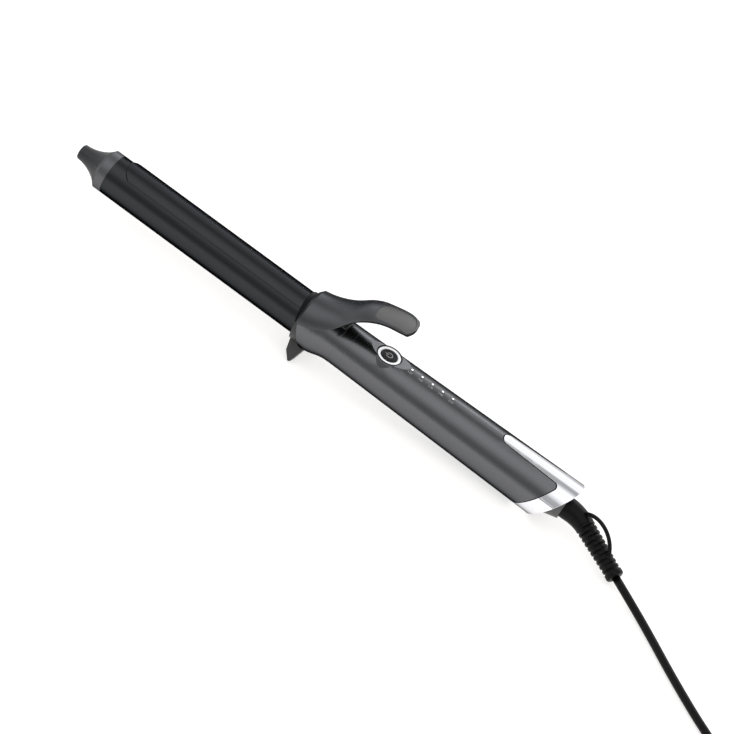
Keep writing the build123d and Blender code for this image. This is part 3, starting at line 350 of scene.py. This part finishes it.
def flake_paint(name, colour, roughness, edge):
    """Satin metallic paint: tiny flakes over a broad, faint mottle."""
    material, tree, bsdf = new_material(name)
    flakes = noise(tree, FLAKE_SCALE, 1.0)
    tint(tree, flakes, colour, FLAKE_SPREAD, bsdf.inputs["Base Color"])
    mottle = noise(tree, MOTTLE_SCALE, 3.0)
    grade(tree, mottle, roughness * 0.95, roughness * 1.05, bsdf.inputs["Roughness"])
    bump(tree, flakes, FLAKE_DEPTH, bsdf)
    bsdf.inputs["Metallic"].default_value = 1.0
    bsdf.inputs["Specular Tint"].default_value = (edge, edge, edge, 1)
    return material


def blend_colours(tree, factor, first, second, socket):
    """Mixes two colours by a factor. Either is a plain colour or a function that fills a socket."""
    mix = tree.nodes.new("ShaderNodeMix")
    mix.data_type = "RGBA"
    tree.links.new(factor, mix.inputs[0])
    for target, colour in ((mix.inputs[6], first), (mix.inputs[7], second)):
        if callable(colour):
            colour(target)
        else:
            target.default_value = (*colour, 1)
    tree.links.new(mix.outputs[2], socket)


def grip_paint():
    """The grip's paint, with near black deep in the groove before the bright trim: partly bare plastic, partly
    painted shade in the groove.
    """
    material = flake_paint("grip_plastic", GRIP_COLOUR, 0.27, 0.1)
    tree = material.node_tree
    socket = tree.nodes["Principled BSDF"].inputs["Base Color"]
    painted = socket.links[0].from_socket
    coordinates = tree.nodes.new("ShaderNodeTexCoord")
    station, across, height = iron_parts(tree, coordinates.outputs["Object"], on_iron(0, 0, 0))
    radius = length_of(tree, across, height)
    skin = arithmetic(tree, "MULTIPLY", arithmetic(tree, "SUBTRACT", station, SEAM_STATION), GRIP_TAPER)
    depth = arithmetic(tree, "SUBTRACT", arithmetic(tree, "ADD", skin, GRIP_RADIUS), radius)
    # Painted shade: deeper than the groove depth and near the trim, the colour goes near black, partly for the
    # bare plastic there
    groove_shade_mask = arithmetic(tree, "GREATER_THAN", depth, GROOVE_DEPTH)
    groove_shade_mask = arithmetic(tree, "MULTIPLY", groove_shade_mask, arithmetic(tree, "GREATER_THAN", station, GROOVE_STATION))

    def paint_colour(target):
        tree.links.new(painted, target)

    blend_colours(tree, groove_shade_mask, paint_colour, GROOVE_BARE_AND_SHADE_COLOUR, socket)
    return material


def lever_paint():
    """The lever's paint: lighter and duller on the thumb pad, near black on the inner side, partly bare plastic,
    partly painted shade under the lever.
    """
    material, tree, bsdf = new_material("lever_plastic")
    flakes = noise(tree, FLAKE_SCALE, 1.0)
    coordinates = tree.nodes.new("ShaderNodeTexCoord")
    station, across, height = iron_parts(tree, coordinates.outputs["Object"], on_iron(0, 0, 0))
    turn = iron_parts(tree, coordinates.outputs["Normal"], Vector())
    ahead = arithmetic(tree, "MAXIMUM", arithmetic(tree, "SUBTRACT", PAD_STATION, station), 0.0)
    lengthwise = arithmetic(tree, "DIVIDE", ahead, PAD_HALF_WIDTH / 2)
    crosswise = arithmetic(tree, "DIVIDE", across, PAD_HALF_WIDTH)
    on_pad = arithmetic(tree, "LESS_THAN", length_of(tree, lengthwise, crosswise), 1.0)
    on_pad = arithmetic(tree, "MULTIPLY", on_pad, arithmetic(tree, "GREATER_THAN", turn[2], PAD_FACING))
    # Painted shade: faces turned in towards the barrel's axis go near black, partly for the bare plastic there
    sideways_out = arithmetic(tree, "MULTIPLY", turn[1], across)
    outwards = arithmetic(tree, "ADD", sideways_out, arithmetic(tree, "MULTIPLY", turn[2], height))
    outwards = arithmetic(tree, "DIVIDE", outwards, length_of(tree, across, height))
    shaded_inner_side = arithmetic(tree, "LESS_THAN", outwards, LEVER_SHADE_FACING)

    def arm_colour(socket):
        tint(tree, flakes, LEVER_COLOUR, FLAKE_SPREAD, socket)

    def pad_colour(socket):
        tint(tree, flakes, PAD_COLOUR, PAD_SPREAD, socket)

    def outer_colour(socket):
        blend_colours(tree, on_pad, arm_colour, pad_colour, socket)

    blend_colours(tree, shaded_inner_side, outer_colour, LEVER_INNER_SHADE_COLOUR, bsdf.inputs["Base Color"])
    grade(tree, on_pad, LEVER_ROUGHNESS, PAD_ROUGHNESS, bsdf.inputs["Roughness"])
    bump(tree, flakes, FLAKE_DEPTH, bsdf, LEVER_EDGE_RADIUS)
    bsdf.inputs["Metallic"].default_value = 1.0
    bsdf.inputs["Specular Tint"].default_value = LEVER_SLANT_TINT
    return material


def glowing(name, colour, strength):
    """White plastic that is lit from behind."""
    material, tree, bsdf = new_material(name)
    tint(tree, noise(tree, 900), colour, 0.03, bsdf.inputs["Base Color"])
    bsdf.inputs["Roughness"].default_value = 0.3
    bsdf.inputs["Emission Color"].default_value = (*colour, 1)
    bsdf.inputs["Emission Strength"].default_value = strength
    return material


MATERIALS = {
    "barrel_coat": flake_paint("barrel_coat", (0.041, 0.043, 0.046), 0.28, 0.1),
    "ring_coat": flake_paint("ring_coat", (0.130, 0.131, 0.138), 0.40, 0.4),
    "tip_plastic": surface("tip_plastic", (0.034, 0.035, 0.038), 0.42, specular=0.3),
    "lever_plastic": lever_paint(),
    "stand_plastic": surface("stand_plastic", (0.050, 0.050, 0.050), 0.45),
    "black_plastic": surface("black_plastic", (0.004, 0.004, 0.0045), 0.5, specular=0.12),
    "grip_plastic": grip_paint(),
    "cap_plastic": surface("cap_plastic", (0.140, 0.140, 0.136), 0.4),
    "bright_trim": surface(
        "bright_trim", (0.90, 0.90, 0.93), 0.06, metallic=1.0, spread=0.01, depth=0.0000005, edge=0.12
    ),
    "button_black": surface("button_black", (0.008, 0.008, 0.009), 0.4, specular=0.15),
    "white_diffuser": glowing("white_diffuser", (0.9, 0.9, 0.92), 0.25),
    "lens": glowing("lens", (1.0, 1.0, 1.0), 0.8),
    "board_laminate": surface("board_laminate", (0.02, 0.10, 0.04), 0.4),
    "steel": surface("steel", (0.55, 0.55, 0.56), 0.3, metallic=1.0),
    # Hinge bracket, pin and screws: dark for a black-oxide finish and as painted shade under the lever
    "dark_steel": surface("dark_steel", (0.012, 0.012, 0.013), 0.4),
    "aluminium": surface("aluminium", (0.72, 0.72, 0.74), 0.35, metallic=1.0),
    "white_ceramic": surface("white_ceramic", (0.80, 0.79, 0.75), 0.6),
    "wire_cover": surface("wire_cover", (0.55, 0.55, 0.53), 0.5),
    "contact_brass": surface("contact_brass", (0.72, 0.52, 0.25), 0.3, metallic=1.0),
    "cord_rubber": surface(
        "cord_rubber", (0.003, 0.003, 0.0033), 0.42, depth=0.00003, grain=900, specular=0.15
    ),
    "tie_plastic": surface("tie_plastic", (0.015, 0.015, 0.015), 0.5),
    "pin_brass": surface("pin_brass", (0.70, 0.67, 0.58), 0.2, metallic=1.0),
}
PRINT = surface("print", (0.42, 0.42, 0.43), 0.6, grain=4000)


def dress(obj, material):
    obj.data.materials.clear()
    obj.data.materials.append(material)


for part in frame["record"]["subparts"]:
    node = nodes[part["node"]]
    dress(node, MATERIALS[part["material_slot"]])
    node.data.shade_smooth()
    node.data.set_sharp_from_angle(angle=SMOOTH_ANGLE)


# Cord
def cord_points():
    """Control points of the whole cord: the free run, the coil and the run to the plug."""
    points = [CORD_START.copy()]
    for dx, dy, z in CORD_ROUTE:
        points.append(Vector((CORD_START.x + dx, CORD_START.y + dy, z)))
    start = points[-1]
    run = points[-1] - points[-2]
    heading = math.atan2(run.y, run.x)
    straight = Vector((math.cos(heading), math.sin(heading), 0)) * CORD_DIAMETER
    angle = heading - math.pi / 2
    middle = start + straight - Vector((math.cos(angle), math.sin(angle), 0)) * COIL_RADIUS
    layer_turns = (COIL_TURNS - 0.5) / 2
    steps = round(COIL_TURNS * COIL_POINTS_PER_TURN)
    outward = 1 / math.cos(math.pi * COIL_TURNS / steps)
    for step in range(1, steps + 1):
        turns = COIL_TURNS * step / steps
        radius = (COIL_RADIUS - COIL_PITCH * min(turns, COIL_TURNS - turns)) * outward
        share = min(max((turns - layer_turns) * 2, 0.0), 1.0)
        climb = (1 - math.cos(share * math.pi)) / 2 * COIL_PITCH
        around = angle + turns * 2 * math.pi
        place = Vector((math.cos(around), math.sin(around), 0)) * radius
        points.append(Vector((middle.x + place.x, middle.y + place.y, start.z + climb)))
    last = angle + COIL_TURNS * 2 * math.pi
    away = Vector((-math.sin(last), math.cos(last), 0))
    end = middle + Vector((math.cos(last), math.sin(last), 0)) * COIL_RADIUS
    for reach in (COIL_TAIL * 0.3, COIL_TAIL, COIL_TAIL + CORD_DIAMETER):
        level = PLUG_HEIGHT / 2 if reach > COIL_TAIL / 2 else start.z + COIL_PITCH
        points.append(Vector((end.x + away.x * reach, end.y + away.y * reach, level)))
    return points


def smooth_line(points, resolution):
    """Points along one smooth curve that the given control points lead."""
    curve = bpy.data.curves.new("guide", "CURVE")
    curve.dimensions = "3D"
    spline = curve.splines.new("NURBS")
    spline.points.add(len(points) - 1)
    for target, point in zip(spline.points, points):
        target.co = (*point, 1)
    spline.order_u = 3
    spline.use_endpoint_u = True
    spline.resolution_u = resolution
    guide = link(bpy.data.objects.new("guide", curve))
    bpy.context.view_layer.update()
    mesh = bpy.data.meshes.new_from_object(guide)
    line = [v.co.copy() for v in mesh.vertices]
    bpy.data.objects.remove(guide)
    bpy.data.meshes.remove(mesh)
    bpy.data.curves.remove(curve)
    return line


def make_cord():
    line = smooth_line(cord_points(), CORD_STEPS_PER_POINT)
    cord = tube_mesh("power_lead", line, CORD_DIAMETER / 2, CORD_SIDES)
    dress(cord, MATERIALS["cord_rubber"])
    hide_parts("power_cord", "cord_coil")
    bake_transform(cord)


# Bend sleeve: ribs whose grooves are bridged by webs, turned a quarter from groove to groove
def make_sleeve():
    turned = Vector((
        math.cos(SLEEVE_TURN) * math.cos(SLEEVE_DIP),
        -math.sin(SLEEVE_TURN) * math.cos(SLEEVE_DIP),
        -math.sin(SLEEVE_DIP),
    ))
    way = iron_along * turned.x + Vector((0, turned.y, 0)) + iron_up * turned.z
    up = (iron_up - way * iron_up.dot(way)).normalized()
    side = way.cross(up)
    foot = swivel_place + way * SLEEVE_LEAD

    def ring(x, inner, outer, quarter):
        points = []
        for k in range(SLEEVE_SIDES):
            angle = 2 * math.pi * k / SLEEVE_SIDES
            web = min(max((abs(math.cos(angle + quarter)) - WEB_START) / WEB_SLOPE, 0.0), 1.0)
            radius = inner + (outer - inner) * web
            points.append(foot + way * x + (side * math.cos(angle) + up * math.sin(angle)) * radius)
        return points

    rings = []
    for i in range(RIB_COUNT):
        rib = RIB_FIRST_RADIUS + (RIB_LAST_RADIUS - RIB_FIRST_RADIUS) * i / (RIB_COUNT - 1)
        quarter = math.pi / 2 * (i % 2)
        for share, groove, web in RIB_PROFILE:
            inner = SLEEVE_CORE_RADIUS if groove is None else rib - RIB_EDGE * groove
            rings.append(ring((i + share) * RIB_PITCH, inner, rib - RIB_EDGE * web, quarter))
    end = RIB_COUNT * RIB_PITCH
    length = SLEEVE_COLLAR_LENGTH
    for reach, drop in ((0.0, 1), (RIB_EDGE, 0), (length * 0.7, 0), (length * 0.95, 3), (length, 5)):
        radius = SLEEVE_COLLAR_RADIUS - RIB_EDGE * drop
        rings.append(ring(end + reach, radius, radius, 0))
    sleeve = rings_mesh("ribbed_sleeve", rings)
    sleeve.data.set_sharp_from_angle(angle=SLEEVE_SMOOTH_ANGLE)
    dress(sleeve, MATERIALS["cord_rubber"])
    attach(sleeve, "swivel")
    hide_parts("bend_sleeve")


# Clamp spring: a helix round the hinge pin, one leg on the neck and one under the lever
def make_spring():
    pitch = SPRING_WIDTH / SPRING_TURN

    def at(angle):
        x = PIN_STATION + SPRING_RADIUS * math.sin(angle)
        z = PIN_HEIGHT - SPRING_RADIUS * math.cos(angle)
        return on_iron(x, SPRING_WIDTH / 2 - pitch * angle, z)

    line = [at(SPRING_TURN * i / SPRING_STEPS) for i in range(SPRING_STEPS + 1)]
    end_way = iron_along * math.cos(SPRING_TURN) + iron_up * math.sin(SPRING_TURN)
    line = [line[0] - iron_along * SPRING_LEAD] + line + [line[-1] + end_way * SPRING_TAIL]
    spring = tube_mesh("hinge_spring", line, SPRING_WIRE / 2, SPRING_SIDES)
    dress(spring, MATERIALS["steel"])
    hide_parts("clamp_spring")
    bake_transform(spring)


# Printed signs: a power sign on the button and plain temperatures beside the lights
def make_power_sign():
    verts = []
    faces = []

    def put(x, y):
        verts.append(on_iron(BUTTON_STATION + x, y, BUTTON_TOP + SIGN_LIFT))

    for i in range(SIGN_STEPS + 1):
        angle = math.pi + SIGN_OPENING + (2 * math.pi - 2 * SIGN_OPENING) * i / SIGN_STEPS
        for radius in (SIGN_RADIUS - SIGN_STROKE / 2, SIGN_RADIUS + SIGN_STROKE / 2):
            put(radius * math.cos(angle), radius * math.sin(angle))
    for i in range(SIGN_STEPS):
        a = 2 * i
        faces.append((a, a + 1, a + 3, a + 2))
    base = len(verts)
    for x, y in ((-1.35, -0.5), (-0.35, -0.5), (-0.35, 0.5), (-1.35, 0.5)):
        put(x * SIGN_RADIUS, y * SIGN_STROKE)
    faces.append((base, base + 1, base + 2, base + 3))
    sign = mesh_object("power_sign", verts, faces, smooth=False)
    dress(sign, PRINT)
    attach(sign, "button")


def make_temperature_marks():
    """Small numbers printed on the grip beside the lights, bent to its surface."""
    verts = []
    faces = []
    for i, number in enumerate(TEMPERATURES):
        text = bpy.data.curves.new("number", "FONT")
        text.body = number
        text.size = NUMBER_HEIGHT
        text.align_x = "CENTER"
        text.align_y = "CENTER"
        text.resolution_u = 3
        holder = link(bpy.data.objects.new("number", text))
        bpy.context.view_layer.update()
        mesh = bpy.data.meshes.new_from_object(holder)
        station = LIGHT_STATION + LIGHT_PITCH * i
        base = len(verts)
        for vertex in mesh.vertices:
            x = station + vertex.co.x
            radius = grip_radius(x) + NUMBER_LIFT
            angle = (vertex.co.y - NUMBER_OFFSET) / radius
            verts.append(on_iron(x, radius * math.sin(angle), radius * math.cos(angle)))
        for polygon in mesh.polygons:
            faces.append(tuple(base + v for v in polygon.vertices))
        bpy.data.objects.remove(holder)
        bpy.data.meshes.remove(mesh)
        bpy.data.curves.remove(text)
    marks = mesh_object("temperature_marks", verts, faces, smooth=False)
    dress(marks, PRINT)
    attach(marks, "iron")


def make_screw_slot_shades():
    """Cross recesses in the two screws under the grip, drawn as dark crosses on their heads: the black is painted
    shade in the recesses.
    """
    long = CROSS_REACH
    thin = CROSS_HALF_WIDTH
    verts = []
    faces = []
    outline = [
        (long, -thin), (long, thin), (thin, thin), (thin, long), (-thin, long), (-thin, thin),
        (-long, thin), (-long, -thin), (-thin, -thin), (-thin, -long), (thin, -long), (thin, -thin),
    ]
    for station in SCREW_STATIONS:
        base = len(verts)
        for x, y in outline:
            verts.append(on_iron(station + x, y, -grip_radius(station) + CROSS_SINK))
        faces.append(tuple(base + i for i in reversed(range(len(outline)))))
    slots = mesh_object("screw_slots", verts, faces, smooth=False)
    # Painted shade: the crosses take the black plastic's colour for the shade inside the recesses
    dress(slots, MATERIALS["black_plastic"])
    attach(slots, "iron")


make_cord()
make_sleeve()
make_spring()
make_power_sign()
make_temperature_marks()
make_screw_slot_shades()


# Stage: table, light and camera
def make_floor():
    """A pale table that shows white to the camera and in mirrors, and still takes the iron's shadow."""
    half = TABLE_HALF
    corners = [(-half, -half, 0), (half, -half, 0), (half, half, 0), (-half, half, 0)]
    floor = mesh_object("table", corners, [(0, 1, 2, 3)], smooth=False)
    material, tree, bsdf = new_material("table")
    bsdf.inputs["Base Color"].default_value = TABLE_COLOUR
    bsdf.inputs["Roughness"].default_value = 0.9
    bsdf.inputs["Specular IOR Level"].default_value = 0.0
    bsdf.inputs["Emission Color"].default_value = (1, 1, 1, 1)
    ray = tree.nodes.new("ShaderNodeLightPath").outputs
    shown = arithmetic(tree, "MAXIMUM", ray["Is Camera Ray"], ray["Is Glossy Ray"])
    shown = arithmetic(tree, "MAXIMUM", shown, ray["Is Transmission Ray"])
    glow = arithmetic(tree, "MULTIPLY", shown, TABLE_GLOW)
    tree.links.new(glow, bsdf.inputs["Emission Strength"])
    floor.data.materials.append(material)


def soft_box(name, place, aim, size, power):
    lamp = bpy.data.lights.new(name, "AREA")
    lamp.shape = "RECTANGLE"
    lamp.size, lamp.size_y = size
    lamp.energy = power
    obj = link(bpy.data.objects.new(name, lamp))
    obj.location = place
    obj.rotation_euler = (Vector(aim) - Vector(place)).to_track_quat("-Z", "Y").to_euler()


# Brightness of the studio round the long axis: degrees up from the far side, over to the near side
STUDIO = [
    (0, 0.95),
    (20, 1.10),
    (56, 1.10),
    (64, 0.48),
    (73, 0.40),
    (80, 0.56),
    (92, 1.08),
    (106, 1.30),
    (127, 1.22),
    (142, 0.82),
    (152, 0.46),
    (170, 0.40),
    (174, 0.70),
    (177, 0.40),
    (180, 0.45),
]


def make_studio():
    world = bpy.data.worlds.new("studio")
    world.use_nodes = True
    tree = world.node_tree
    coordinates = tree.nodes.new("ShaderNodeTexCoord")
    parts = tree.nodes.new("ShaderNodeSeparateXYZ")
    angle = arithmetic(tree, "ARCTAN2", parts.outputs["Z"], parts.outputs["Y"])
    span = tree.nodes.new("ShaderNodeMapRange")
    span.inputs["From Min"].default_value = 0.0
    span.inputs["From Max"].default_value = math.pi
    ramp = tree.nodes.new("ShaderNodeValToRGB")
    stops = ramp.color_ramp.elements
    while len(stops) < len(STUDIO):
        stops.new(0.5)
    for stop, (degrees, level) in zip(stops, STUDIO):
        stop.position = degrees / 180
        stop.color = (*[level * share for share in SKY_TINT], 1)
    tree.links.new(coordinates.outputs["Generated"], parts.inputs[0])
    tree.links.new(angle, span.inputs["Value"])
    tree.links.new(span.outputs["Result"], ramp.inputs["Fac"])
    tree.links.new(ramp.outputs["Color"], tree.nodes["Background"].inputs["Color"])
    bpy.context.scene.world = world
    soft_box("far_box", place=(0.1, 1.25, 0.78), aim=(0.05, 0.0, 0.02), size=(1.9, 0.3), power=4)


def make_camera():
    back = Vector((
        math.sin(CAMERA_AZIMUTH) * math.cos(CAMERA_ELEVATION),
        -math.cos(CAMERA_AZIMUTH) * math.cos(CAMERA_ELEVATION),
        math.sin(CAMERA_ELEVATION),
    ))
    right = Vector((math.cos(CAMERA_AZIMUTH), math.sin(CAMERA_AZIMUTH), 0))
    up = back.cross(right)
    turned_right = right * math.cos(CAMERA_ROLL) + up * math.sin(CAMERA_ROLL)
    turned_up = up * math.cos(CAMERA_ROLL) - right * math.sin(CAMERA_ROLL)
    place = CAMERA_TARGET + back * CAMERA_DISTANCE
    data = bpy.data.cameras.new("camera")
    data.sensor_fit = "HORIZONTAL"
    data.sensor_width = SENSOR_WIDTH
    data.lens = FOCAL_PIXELS * SENSOR_WIDTH / IMAGE_WIDTH
    camera = link(bpy.data.objects.new("camera", data))
    turn = Matrix((turned_right, turned_up, back)).transposed().to_4x4()
    camera.matrix_world = Matrix.Translation(place) @ turn
    bpy.context.scene.camera = camera


make_floor()
make_studio()
make_camera()
bpy.context.scene.view_settings.view_transform = "Standard"
